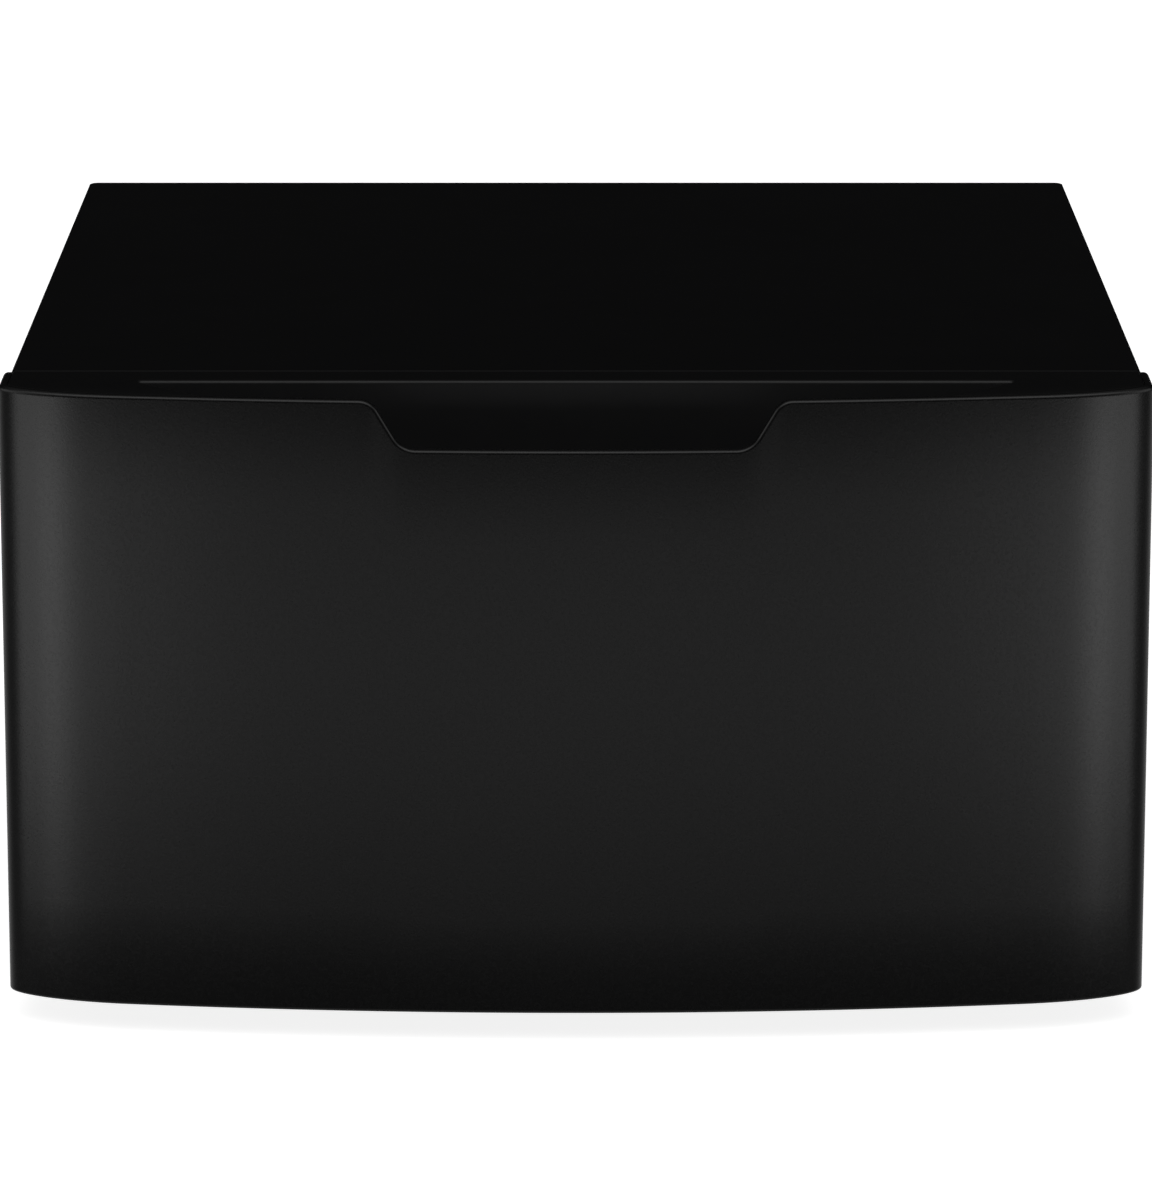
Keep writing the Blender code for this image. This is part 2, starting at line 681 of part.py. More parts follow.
def build_top_supports():
    """The rail over the drawer opening and the hat-section braces under the top."""
    between = SIDE_OUTER_X - SIDE_FLANGE - GAP
    front, back = SIDE_FRONT_Y, SIDE_FRONT_Y + 26 * MM
    head = [(back, UNDER_TOP), (front, UNDER_TOP), (front, OPENING_TOP), (back, OPENING_TOP)]
    prism("front_top_rail", folded(head, RAIL_SHEET), "X", -between, between, "cabinet_paint")

    half = SIDE_INNER_X - GAP
    foot, wide, lean, tall = 14 * MM, 30 * MM, 6 * MM, 18 * MM
    falling = [(wide + foot, UNDER_TOP), (wide, UNDER_TOP), (wide - lean, UNDER_TOP - tall)]
    section = folded(falling + mirrored(falling), SIDE_SHEET, steps=1)
    for name, y in (("front", 190 * MM), ("middle", 345 * MM), ("rear", 500 * MM)):
        prism(f"top_brace_{name}", section, "X", -half, half, "galvanised", (0, y, 0))


def build_slide_brackets():
    """Hat channels on the side panels that carry the fixed slide members."""
    wall, face = SIDE_INNER_X - GAP, SLIDE_OUTER_X + GAP + SIDE_SHEET
    low, high = SLIDE_Z - OUTER_HALF - 2 * MM, SLIDE_Z + OUTER_HALF + 2 * MM
    foot = 16 * MM
    path = [(wall, low - foot), (wall, low), (face, low), (face, high), (wall, high), (wall, high + foot)]
    section = folded(path, SIDE_SHEET, 1.5 * MM, steps=1)
    start, stop = SIDE_FRONT_Y + 14 * MM, SIDE_BACK_Y - SIDE_SHEET - 6 * MM
    prism("slide_bracket_right", section, "Y", start, stop, "galvanised")
    prism("slide_bracket_left", mirrored(section), "Y", start, stop, "galvanised")


def build_bumpers():
    """Rubber buttons on the cabinet's front flanges that the drawer front closes against."""
    base, tip, tall = 5 * MM, 3.4 * MM, 4.2 * MM
    profile = [(0, 0), (base, 0), (base, tall / 3), (tip, tall * 0.93), (0, tall)]
    mesh = turned_mesh("bumper", profile, 12)
    x = SIDE_OUTER_X - SIDE_FLANGE / 2
    for side in ("left", "right"):
        for level, z in (("lower", OPENING_BOTTOM + 22 * MM), ("upper", OPENING_TOP - 18 * MM)):
            spot = (side_sign(side) * x, SIDE_FRONT_Y - GAP, z)
            button = add_object(f"bumper_{level}_{side}", mesh, "rubber", spot, smooth=True)
            button.rotation_euler = (math.pi / 2, 0, 0)


# ---------------------------------------------------------------- levelling feet


def build_foot(end, side):
    """Rubber pad, stud with a hexagon collar, lock nut, and the plate that the stud screws into."""
    corner = f"{end}_{side}"
    spot = (side_sign(side) * FOOT_X, FOOT_YS[end], 0)
    pad_profile = [(0, 0), (17 * MM, 0), (19 * MM, 1.5 * MM), (18 * MM, 5 * MM), (13 * MM, PAD_HEIGHT)]
    pad_mesh = turned_mesh("foot_pad", [*pad_profile, (0, PAD_HEIGHT)], 20)
    add_object(f"foot_pad_{corner}", pad_mesh, "rubber", spot, smooth=True)

    base, tip = PAD_HEIGHT + GAP, STUD_TOP - 1 * MM
    stud = prism(f"foot_stud_{corner}", circle(8.1 * MM, 6), "Z", base, COLLAR_TOP, "fastener_zinc", spot)
    shaft = [(0, base + 1 * MM), (STUD_RADIUS, base + 1 * MM), (STUD_RADIUS, tip)]
    shaft += [(STUD_RADIUS - 1 * MM, STUD_TOP), (0, STUD_TOP)]
    shaft_mesh = turned_mesh("stud_shaft", shaft, 16)
    add_boolean(stud, "UNION", add_cutter(f"stud_shaft_{corner}", shaft_mesh, spot))

    nut_top = BASE_Z - GAP
    hexagon = circle(9.2 * MM, 6)
    nut = prism(f"lock_nut_{corner}", hexagon, "Z", nut_top - NUT_HEIGHT, nut_top, "fastener_zinc", spot)
    plate_z = BASE_Z + RAIL_SHEET + GAP
    outline = rectangle((-30 * MM, -19 * MM), (30 * MM, 19 * MM))
    plate = prism(f"foot_plate_{corner}", outline, "Z", plate_z, plate_z + PLATE_THICK, "fastener_zinc", spot)
    bore_mesh = prism_mesh("stud_bore", circle(CLEAR_RADIUS, 16), "Z", COLLAR_TOP, 2 * BASE_Z)
    bore = add_cutter(f"stud_bore_{corner}", bore_mesh, spot)
    for pierced in (nut, plate, bpy.data.objects[f"base_rail_{end}"]):
        add_boolean(pierced, "DIFFERENCE", bore)


# ---------------------------------------------------------------- assembly

clear_scene()
MATERIALS = make_materials()
FRONT_FACE = bpy.data.objects.new("cabinet_front", None)
bpy.context.scene.collection.objects.link(FRONT_FACE)
FRONT_FACE.location = (0, FRONT_DEPTH - (FRONT_DEPTH + CABINET_DEPTH) / 2, 0)

build_top_panel()
build_side_panels()
build_back_panel()
build_base()
build_top_supports()
build_slide_brackets()
build_bumpers()
for end_name in FOOT_YS:
    for side_name in ("left", "right"):
        build_foot(end_name, side_name)

build_front_skin()
build_handle_cap()
build_backing()
build_bottom_trim()
build_drawer_sides()
build_drawer_plates()
build_front_screws()
build_divider()
for side_name in ("left", "right"):
    build_slide(side_name)
    build_release_lever(side_name)
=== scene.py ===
"""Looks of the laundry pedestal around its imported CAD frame.

Fine pieces, materials, soft studio light and camera. Metres, +Z up. cabinet_point() places a point whose y
counts from the front face of the cabinet, as in the part's source.
"""

import json
import math

import bmesh
import bpy
from mathutils import Matrix, Vector


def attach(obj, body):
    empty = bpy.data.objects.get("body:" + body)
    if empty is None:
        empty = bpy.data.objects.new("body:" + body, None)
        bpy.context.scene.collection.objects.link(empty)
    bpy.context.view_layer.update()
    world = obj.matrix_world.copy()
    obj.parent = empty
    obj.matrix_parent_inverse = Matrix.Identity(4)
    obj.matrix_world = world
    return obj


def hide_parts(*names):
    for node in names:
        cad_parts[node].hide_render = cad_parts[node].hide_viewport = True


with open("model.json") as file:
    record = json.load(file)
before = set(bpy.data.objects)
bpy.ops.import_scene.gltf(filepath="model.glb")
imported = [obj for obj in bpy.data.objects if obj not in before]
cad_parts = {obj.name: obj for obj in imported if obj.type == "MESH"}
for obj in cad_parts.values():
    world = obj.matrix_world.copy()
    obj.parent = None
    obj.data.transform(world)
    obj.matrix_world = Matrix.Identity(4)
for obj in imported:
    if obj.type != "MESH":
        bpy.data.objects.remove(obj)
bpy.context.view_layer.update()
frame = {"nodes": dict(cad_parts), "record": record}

MM = 0.001

# Sizes that the fine pieces share with the CAD part
FRONT_WIDTH = 711 * MM
FRONT_DEPTH = 95 * MM
CABINET_DEPTH = 686 * MM
HEIGHT = 406 * MM
SKIN_SHEET = 0.8 * MM
GAP = 0.3 * MM
BOW_RADIUS = 2032 * MM
CORNER_WIDTH = 76 * MM
CORNER_DEPTH = 24 * MM
FRONT_BOTTOM = 18.5 * MM
FRONT_BACK_Y = -3 * MM
NOTCH_TOP_HALF = 125 * MM
NOTCH_BOTTOM_HALF = 106.7 * MM
NOTCH_DEPTH = 30.5 * MM
NOTCH_TOP_ROUND = 13 * MM
NOTCH_BOTTOM_ROUND = 16 * MM
CAP_TOP = HEIGHT - 0.1 * MM
CAP_BACK_Y = -1 * MM
CAP_WALL = 2.5 * MM
POCKET_BACK_Y = -29 * MM
POCKET_BACK_HALF = 272 * MM
POCKET_FRONT_HALF = 226 * MM
POCKET_DEPTH = 60 * MM
POCKET_FILLET = 12 * MM
POCKET_BRIM = 2.5 * MM
POCKET_ROUND = 2 * MM
POCKET_FRONT_INSET = SKIN_SHEET + 1 * MM + CAP_WALL
CAP_EDGE_ROUND = 0.6 * MM
GATE_REACH = 20 * MM
CABINET_Y = FRONT_DEPTH - (FRONT_DEPTH + CABINET_DEPTH) / 2

# Rolled edge of the front: its radius grows towards the side returns, and its depth stays the same
LIP_RADIUS = 2.3 * MM
LIP_END_RADIUS = 3.6 * MM
LIP_REACH = 5.5 * MM
TONGUE_REACH = 4 * MM
TONGUE_DROP = 1.3 * MM
LIP_GROWS_FROM = 250 * MM

SIDES = {"left": -1, "right": 1}

# Pan head with a cross recess, in shares of its radius or its height
HEAD_SEAT = 0.94
HEAD_RIM_LOW = 0.12
HEAD_RIM_HIGH = 0.40
HEAD_CROWN = 0.35
HEAD_TIP = 0.3
RECESS_LENGTH = 0.58
RECESS_WIDTH = 0.13
RECESS_FLOOR = 0.35

# Screws: the drawer front's four, and the back panel's
SCREW_X = 292 * MM
SCREW_HEIGHTS = {"lower": 118 * MM, "upper": 306 * MM}
SCREW_SEAT_Y = -1.9 * MM
SCREW_RADIUS = 4.6 * MM
SCREW_HEAD = 2.8 * MM
BACK_SCREW_RADIUS = 4 * MM
BACK_SCREW_HEAD = 2.2 * MM
BACK_SCREW_Y = 681.7 * MM
BACK_SCREW_X = 338 * MM
BACK_SCREW_SIDE_ZS = (46 * MM, 152 * MM, 274 * MM, 380 * MM)
BACK_SCREW_TOP_XS = (-170 * MM, 0, 170 * MM)
BACK_SCREW_ROW_ZS = (46 * MM, 380 * MM)

# Slide balls: each cage's distance from the slide's wall side, and its rows' distance from its middle
SLIDE_Z = 170 * MM
SLIDE_OUTER_X = 332 * MM
CAGE_START_Y = 150 * MM
CAGE_LENGTH = 260 * MM
CAGE_ROWS = {"outer": (7 * MM, 19.65 * MM), "inner": (8.5 * MM, 14.3 * MM)}
BALL_RADIUS = 1.9 * MM
BALL_INSET = 9 * MM
BALLS_IN_ROW = 12

# Screws that hold the slides to the drawer box
SLIDE_WEB = 11.5 * MM
SLIDE_SCREW_YS = (62 * MM, 250 * MM, 530 * MM)
SLIDE_SCREW_RADIUS = 3.6 * MM
SLIDE_SCREW_HEAD = 1.7 * MM

# Back panel
BACK_HALF = 347.9 * MM
BACK_LOW = 30 * MM
BACK_HIGH = 403.7 * MM
BACK_FACE_Y = 681.3 * MM
BACK_SHEET = 0.6 * MM
BACK_CORNER = 3 * MM
FIELD_INSET = 51 * MM
FIELD_STEP = 8 * MM
FIELD_CORNER = 18 * MM
FIELD_RISE = 2 * MM

# Levelling feet
FOOT_X = 300 * MM
FOOT_YS = {"front": 24 * MM, "rear": 658 * MM}
STUD_RADIUS = 4.9 * MM
SHAFT_RADIUS = 4.3 * MM
STUD_TOP = 58 * MM
STUD_POINT = 1 * MM
COLLAR_RADIUS = 8.1 * MM
COLLAR_TOP = 13 * MM
NUT_RADIUS = 9.2 * MM
NUT_TOP = 25.7 * MM
NUT_HEIGHT = 6 * MM
NUT_BORE = 5.3 * MM
THREAD_PITCH = 1.5 * MM
THREAD_BOTTOM = 14.5 * MM
THREAD_TOP = 56 * MM
THREAD_SINK = 0.2 * MM
THREAD_RIDGE = 0.42 * THREAD_PITCH
THREAD_CREST = 0.06 * THREAD_PITCH
THREAD_STEPS = 20
HEXAGON_CHAMFER = 0.09
HEXAGON_REACH = 1.01
HEXAGON_FLAT = 0.86
PAD_HEIGHT = 8 * MM
PAD_PROFILE = [
    (17.0 * MM, 0),
    (18.4 * MM, 0.7 * MM),
    (19.0 * MM, 1.6 * MM),
    (19.0 * MM, 2.4 * MM),
    (18.5 * MM, 2.7 * MM),
    (18.5 * MM, 3.2 * MM),
    (18.8 * MM, 3.5 * MM),
    (18.2 * MM, 4.9 * MM),
    (16.8 * MM, 6.4 * MM),
    (14.9 * MM, 7.5 * MM),
    (13.0 * MM, PAD_HEIGHT),
]

# Camera
CAMERA_SPOT = (0, -4.3215, 1.222)
CAMERA_TILT_DEG = 13.44
CAMERA_LENS = 198.4
CAMERA_SENSOR = 36
CAMERA_FAR = 100

# Studio. A softbox has its azimuth in degrees, the height of its middle, its size and its watts.
SOFTBOX_DISTANCE = 1.53
FRONT_SOFTBOX = (0, -0.13, (1.76, 0.42), 1.20)
PAIRED_SOFTBOXES = {
    "wing": (44.3, -0.05, (0.87, 0.43), 1.0),
    "side": (64.0, 0.08, (0.85, 0.60), 1.85),
}
FLOOR_RADIUS = 12
FLOOR_GREY = 0.82
FLOOR_EMISSION = 0.85
DOME_RADIUS = 30
DOME_EMISSION = 1.0

# Glow of the surroundings: where along a direction's axis it starts and is full, and its strength there
OVERHEAD_GLOW = (0.42, 0.95, 1.2)
SIDE_GLOW = (0.72, 0.96, 0.8)
REAR_GLOW = (0.1, 0.7, 0.5)
FLOOR_GLOW = (0.45, 0.75, 0.3)
ROOM_GLOW = 0.006
FORWARD_SHARE = (-0.2, 0.2, 0.9)
UPWARD_SHARE = (0.0, 0.3, 0.9)
DOWNWARD_SHARE = (0.0, 0.2, 1)
LEAST_SHARE = 0.1


# ---------------------------------------------------------------- outlines


def cabinet_point(x, y, z):
    return Vector((x, y + CABINET_Y, z))


def direction(a, b):
    return Vector((b[0] - a[0], b[1] - a[1])).normalized()


def left_of(a, b):
    """Unit vector to the left of the way from a to b."""
    along = direction(a, b)
    return Vector((-along.y, along.x))


def rounded(points, radii, steps=8, closed=False):
    """The outline with an arc in place of each corner. radii holds one radius for each point."""
    made = []
    for i, (point, radius) in enumerate(zip(points, radii)):
        if radius <= 0 or (not closed and i in (0, len(points) - 1)):
            made.append(tuple(point))
            continue
        back, ahead = direction(point, points[i - 1]), direction(point, points[(i + 1) % len(points)])
        half = back.angle(ahead) / 2
        centre = Vector(point) + (back + ahead).normalized() * (radius / math.sin(half))
        first = Vector(point) + back * (radius / math.tan(half)) - centre
        last = Vector(point) + ahead * (radius / math.tan(half)) - centre
        sweep = -first.angle_signed(last)
        for k in range(steps + 1):
            made.append(tuple(centre + Matrix.Rotation(sweep * k / steps, 2) @ first))
    return made


def shifted(points, distance, closed=False):
    """The outline moved to the left of its direction, with mitred corners."""
    count = len(points)
    made = []
    for i, point in enumerate(points):
        sides = []
        if closed or i > 0:
            sides.append(left_of(points[i - 1], point))
        if closed or i < count - 1:
            sides.append(left_of(point, points[(i + 1) % count]))
        middle = sum(sides, Vector((0, 0))).normalized()
        made.append(tuple(Vector(point) + middle * (distance / middle.dot(sides[0]))))
    return made


def foot_corners():
    """The (x, y) place of each foot, by its corner's name."""
    places = {}
    for end, y in FOOT_YS.items():
        for side, sign in SIDES.items():
            places[f"{end}_{side}"] = (sign * FOOT_X, y)
    return places


def mirrored(outline):
    return [(-a, b) for a, b in reversed(outline)]


def spread(low, high, count):
    return [low + (high - low) * k / count for k in range(count + 1)]


def quarter_turns(count):
    return [math.pi / 2 * k / count for k in range(count + 1)]


def bow_y(x):
    """Y of the front's outer face where it only bows."""
    return x * x / (2 * BOW_RADIUS) - FRONT_DEPTH


def front_plan(bow_xs, corner_steps=26):
    """(x, y) points of the front's outer face from above, from the left return to the right one."""
    bow_half = FRONT_WIDTH / 2 - CORNER_WIDTH
    right = []
    for turn in quarter_turns(corner_steps):
        x = bow_half + CORNER_WIDTH * math.sin(turn)
        right.append((x, bow_y(x) + CORNER_DEPTH * (1 - math.cos(turn))))
    last_y = right[-1][1]
    right += [(FRONT_WIDTH / 2, y) for y in spread(last_y, FRONT_BACK_Y, 4)[1:]]
    return mirrored(right) + [(x, bow_y(x)) for x in sorted(bow_xs)] + right


def notch_edge():
    """(x, z) points of the front's top edge, from left to right, with the notch in its middle."""
    left = [
        (-FRONT_WIDTH / 2, HEIGHT),
        (-NOTCH_TOP_HALF, HEIGHT),
        (-NOTCH_BOTTOM_HALF, HEIGHT - NOTCH_DEPTH),
    ]
    rounds = [0, NOTCH_TOP_ROUND, NOTCH_BOTTOM_ROUND]
    return rounded(left + mirrored(left), rounds + rounds[::-1])


# ---------------------------------------------------------------- meshes


def new_object(name, mesh):
    obj = bpy.data.objects.new(name, mesh)
    bpy.context.scene.collection.objects.link(obj)
    return obj


def mesh_of(bm, name, turn_outward=True):
    if turn_outward:
        bmesh.ops.recalc_face_normals(bm, faces=bm.faces)
    mesh = bpy.data.meshes.new(name)
    bm.to_mesh(mesh)
    bm.free()
    return mesh


def smooth(mesh, sharp_deg=35):
    mesh.shade_smooth()
    mesh.set_sharp_from_angle(angle=math.radians(sharp_deg))


def settle(obj, sharp_deg=35):
    """Puts the modifiers' result in the object's own mesh."""
    bpy.context.view_layer.update()
    graph = bpy.context.evaluated_depsgraph_get()
    mesh = bpy.data.meshes.new_from_object(obj.evaluated_get(graph))
    obj.modifiers.clear()
    obj.data = mesh
    smooth(mesh, sharp_deg)


def join_rings(bm, rings, closed=True):
    for low, high in zip(rings, rings[1:]):
        for i in range(len(low) if closed else len(low) - 1):
            j = (i + 1) % len(low)
            bm.faces.new((low[i], low[j], high[j], high[i]))


def lofted_mesh(name, layers):
    """A solid through (outline, z) pairs whose outlines have the same number of points."""
    bm = bmesh.new()
    rings = [[bm.verts.new(cabinet_point(x, y, z)) for x, y in outline] for outline, z in layers]
    join_rings(bm, rings)
    bm.faces.new(rings[0])
    bm.faces.new(rings[-1])
    return mesh_of(bm, name)


def cut_with(obj, operation, mesh):
    """Applies a Boolean with a helper solid."""
    helper = new_object(mesh.name, mesh)
    modifier = obj.modifiers.new(operation.title(), "BOOLEAN")
    modifier.operation = operation
    modifier.object = helper
    settle(obj)
    bpy.data.objects.remove(helper)


def add_piece(obj, body, material, replaced=()):
    """Hangs a finished piece on its CAD body."""
    obj.data.materials.clear()
    obj.data.materials.append(material)
    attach(obj, body)
    if replaced:
        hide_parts(*replaced)
    return obj


# ---------------------------------------------------------------- drawer front skin


def lip_radius(x):
    """Radius of the rolled top edge at this distance from the middle."""
    share = (abs(x) - LIP_GROWS_FROM) / (FRONT_WIDTH / 2 - LIP_GROWS_FROM)
    share = min(max(share, 0), 1)
    return LIP_RADIUS + (LIP_END_RADIUS - LIP_RADIUS) * share * share


def skin_column(point, inward, top, rise):
    """Points up one column of the skin: bottom flange and roll, face, top roll and flange."""
    spots = [(0, FRONT_BOTTOM, LIP_REACH)]
    for turn in reversed(quarter_turns(6)):
        z = FRONT_BOTTOM + LIP_RADIUS * (1 - math.sin(turn))
        spots.append((0, z, LIP_RADIUS * (1 - math.cos(turn))))
    roll = lip_radius(point[0])
    face_low, face_high = FRONT_BOTTOM + LIP_RADIUS, top - roll
    spots += [(0, z, 0) for z in spread(face_low, face_high, 6)[1:-1]]
    for turn in quarter_turns(10):
        back = roll * (math.sin(turn) - 1)
        spots.append((rise.x * back, top + rise.y * back, roll * (1 - math.cos(turn))))
    spots.append((0, top, LIP_REACH))
    x, y = point
    made = []
    for dx, z, depth in spots:
        along_bow = y + bow_y(x + dx) - bow_y(x)
        made.append(cabinet_point(x + dx + inward.x * depth, along_bow + inward.y * depth, z))
    return made


def skin_plan_and_tops():
    """The columns' places from above, and the top edge's height and outward direction at the notch."""
    edge = notch_edge()
    tops = {x: (z, left_of(before, after)) for before, (x, z), after in zip(edge, edge[1:], edge[2:])}
    notch_low = min(abs(x) for x in tops)
    for x in spread(-notch_low, notch_low, 28)[1:-1]:
        tops[x] = (HEIGHT - NOTCH_DEPTH, Vector((0, 1)))
    notch_high = max(tops)
    bow_half = FRONT_WIDTH / 2 - CORNER_WIDTH
    beside = spread(notch_high, bow_half, 22)[1:-1]
    plan = front_plan([*tops, *beside, *(-x for x in beside)])
    return plan, tops


def build_front_skin(material):
    """The bowed steel face, its edges rolled inward at the top, round the notch and at the bottom."""
    plan, tops = skin_plan_and_tops()
    ends = [plan[0], *plan, plan[-1]]
    bm = bmesh.new()
    columns = []
    for before, point, after in zip(ends, plan, ends[2:]):
        top, rise = tops.get(point[0], (HEIGHT, Vector((0, 1))))
        spots = skin_column(point, left_of(before, after), top, rise)
        columns.append([bm.verts.new(spot) for spot in spots])
    join_rings(bm, [list(column) for column in columns], closed=False)
    bmesh.ops.reverse_faces(bm, faces=bm.faces)
    skin = new_object("drawer_front_skin", mesh_of(bm, "drawer_front_skin", turn_outward=False))
    sheet = skin.modifiers.new("Sheet", "SOLIDIFY")
    sheet.thickness = SKIN_SHEET
    sheet.offset = -1
    sheet.use_even_offset = True
    sheet.use_quality_normals = True
    settle(skin, 50)
    add_piece(skin, "drawer", material, ["front_skin"])


# ---------------------------------------------------------------- moulded cap


def pocket_outline(grow, front_inset, front_steps=36):
    """Closed plan of the finger pocket with its back and its slanted ends moved outward by grow."""
    front_corner = (-POCKET_FRONT_HALF, bow_y(POCKET_FRONT_HALF) + POCKET_FRONT_INSET)
    slant = direction((-POCKET_BACK_HALF, POCKET_BACK_Y), front_corner)
    sideways = grow / abs(slant.y)
    corner_x = POCKET_BACK_HALF + sideways - grow * slant.x / slant.y
    reach = POCKET_FRONT_HALF + sideways
    front = [(x, bow_y(x) + front_inset) for x in spread(-reach, reach, front_steps)]
    back_y = POCKET_BACK_Y + grow
    back_round = max(POCKET_ROUND + grow, POCKET_ROUND / 4)
    front_round = POCKET_ROUND / 2
    rounds = [back_round, front_round] + [0] * (front_steps - 1) + [front_round, back_round]
    return rounded([(-corner_x, back_y), *front, (corner_x, back_y)], rounds, steps=8, closed=True)


def pocket_layers(outside, steps=10):
    """(outline, z) up the pocket's floor fillet: of the hollow, or of its wall's outside."""
    radius = POCKET_FILLET + outside
    layers = []
    for turn in reversed(quarter_turns(steps)):
        shrink = radius * (1 - math.cos(turn)) - outside
        z = HEIGHT - POCKET_DEPTH + POCKET_FILLET - radius * math.sin(turn)
        layers.append((pocket_outline(-shrink, POCKET_FRONT_INSET + shrink), z))
    return layers


def cap_plan(distance):
    """Closed plan of the cap, the given distance behind the front's outer face."""
    bow_half = FRONT_WIDTH / 2 - CORNER_WIDTH
    inner = shifted(front_plan(spread(-bow_half, bow_half, 60)[1:-1]), distance)
    return [(inner[0][0], CAP_BACK_Y), *inner[1:-1], (inner[-1][0], CAP_BACK_Y)]


def cap_slab_mesh():
    """The cap's flat top, with a tongue round it that reaches under the skin's flange."""
    edge = LIP_REACH + 2 * GAP
    slab = [(cap_plan(TONGUE_REACH), CAP_TOP - drop) for drop in (CAP_WALL, TONGUE_DROP)]
    slab.append((cap_plan(edge), CAP_TOP - TONGUE_DROP))
    for turn in quarter_turns(3):
        inset = edge + CAP_EDGE_ROUND * (1 - math.cos(turn))
        slab.append((cap_plan(inset), CAP_TOP - CAP_EDGE_ROUND * (1 - math.sin(turn))))
    return lofted_mesh("drawer_front_cap", slab)


def cap_gate_mesh():
    """What the notch takes out of the cap's front edge."""
    edge = shifted(notch_edge()[1:-1], -(SKIN_SHEET + 4 * GAP))
    above = HEIGHT + CAP_WALL
    outline = [(edge[0][0], above), *edge, (edge[-1][0], above)]
    near, far = -FRONT_DEPTH, bow_y(0) + GATE_REACH
    bm = bmesh.new()
    rings = [[bm.verts.new(cabinet_point(x, y, z)) for x, z in outline] for y in (near, far)]
    join_rings(bm, rings)
    bm.faces.new(rings[0])
    bm.faces.new(rings[1])
    return mesh_of(bm, "cap_gate")


def build_handle_cap(material):
    """The moulded top of the drawer front, with the finger pocket hanging in it."""
    cap = new_object("drawer_front_cap", cap_slab_mesh())

    wall_outside = pocket_layers(CAP_WALL)
    wall_outside.append((wall_outside[-1][0], CAP_TOP - CAP_WALL / 2))
    cut_with(cap, "UNION", lofted_mesh("cap_wall", wall_outside))

    hollow = pocket_layers(0)
    for turn in quarter_turns(6):
        flare = POCKET_BRIM * (1 - math.cos(turn))
        z = CAP_TOP - POCKET_BRIM * (1 - math.sin(turn))
        hollow.append((pocket_outline(flare, POCKET_FRONT_INSET), z))
    hollow.append((hollow[-1][0], CAP_TOP + CAP_WALL))
    cut_with(cap, "DIFFERENCE", lofted_mesh("cap_hollow", hollow))
    cut_with(cap, "DIFFERENCE", cap_gate_mesh())
    add_piece(cap, "drawer", material, ["handle_cap"])


# ---------------------------------------------------------------- hardware


def turned(bm, profile, sides=20):
    """Adds a solid turned round Z through (radius, z) points from bottom to top, closed at both ends."""
    rings = []
    for radius, z in profile:
        turns = [math.tau * k / sides for k in range(sides)]
        rings.append([bm.verts.new((radius * math.cos(t), radius * math.sin(t), z)) for t in turns])
    join_rings(bm, rings)
    bm.faces.new(list(reversed(rings[0])))
    bm.faces.new(rings[-1])


def box_between(bm, low, high):
    """Adds a closed box to cut with."""
    spots = [(x, y, z) for z in (low[2], high[2]) for y in (low[1], high[1]) for x in (low[0], high[0])]
    verts = [bm.verts.new(spot) for spot in spots]
    for ring in ((0, 2, 3, 1), (4, 5, 7, 6), (0, 1, 5, 4), (2, 6, 7, 3), (0, 4, 6, 2), (1, 3, 7, 5)):
        bm.faces.new([verts[i] for i in ring])


def screw_head_mesh(radius, height):
    """A pan head with a cross recess, its seat at z = 0."""
    bm = bmesh.new()
    profile = [(radius * HEAD_SEAT, 0), (radius, height * HEAD_RIM_LOW), (radius, height * HEAD_RIM_HIGH)]
    for turn in quarter_turns(5)[1:-1]:
        across = HEAD_CROWN + (1 - HEAD_CROWN) * math.cos(turn)
        up = HEAD_RIM_HIGH + (1 - HEAD_RIM_HIGH) * math.sin(turn)
        profile.append((radius * across, height * up))
    profile.append((radius * HEAD_TIP, height))
    turned(bm, profile)
    head = new_object("screw_head", mesh_of(bm, "screw_head"))
    long, wide = radius * RECESS_LENGTH, radius * RECESS_WIDTH
    for x, y in ((long, wide), (wide, long)):
        cut = bmesh.new()
        box_between(cut, (-x, -y, height * RECESS_FLOOR), (x, y, height * 2))
        cut_with(head, "DIFFERENCE", mesh_of(cut, "recess"))
    mesh = head.data
    bpy.data.objects.remove(head)
    return mesh


def placed_copies(name, mesh, places):
    """One object that holds a copy of the mesh at each (spot, outward direction)."""
    bm = bmesh.new()
    for spot, outward in places:
        copy = mesh.copy()
        turn = Vector((0, 0, 1)).rotation_difference(Vector(outward)).to_matrix().to_4x4()
        copy.transform(Matrix.Translation(spot) @ turn)
        bm.from_mesh(copy)
        bpy.data.meshes.remove(copy)
    obj = new_object(name, mesh_of(bm, name, turn_outward=False))
    smooth(obj.data)
    return obj


def build_front_screws(material):
    """The screws that hold the drawer front, with cross recesses."""
    mesh = screw_head_mesh(SCREW_RADIUS, SCREW_HEAD)
    for side, sign in SIDES.items():
        for level, z in SCREW_HEIGHTS.items():
            spot = cabinet_point(sign * SCREW_X, SCREW_SEAT_Y, z)
            screw = placed_copies(f"drawer_screw_{level}_{side}", mesh, [(spot, (0, 1, 0))])
            add_piece(screw, "drawer", material, [f"front_screw_{level}_{side}"])


def build_back_screws(material):
    """Screws round the border of the back panel."""
    mesh = screw_head_mesh(BACK_SCREW_RADIUS, BACK_SCREW_HEAD)
    spots = [(sign * BACK_SCREW_X, z) for sign in SIDES.values() for z in BACK_SCREW_SIDE_ZS]
    spots += [(x, z) for x in BACK_SCREW_TOP_XS for z in BACK_SCREW_ROW_ZS]
    places = [(cabinet_point(x, BACK_SCREW_Y, z), (0, 1, 0)) for x, z in spots]
    add_piece(placed_copies("cabinet_back_screws", mesh, places), "cabinet", material)


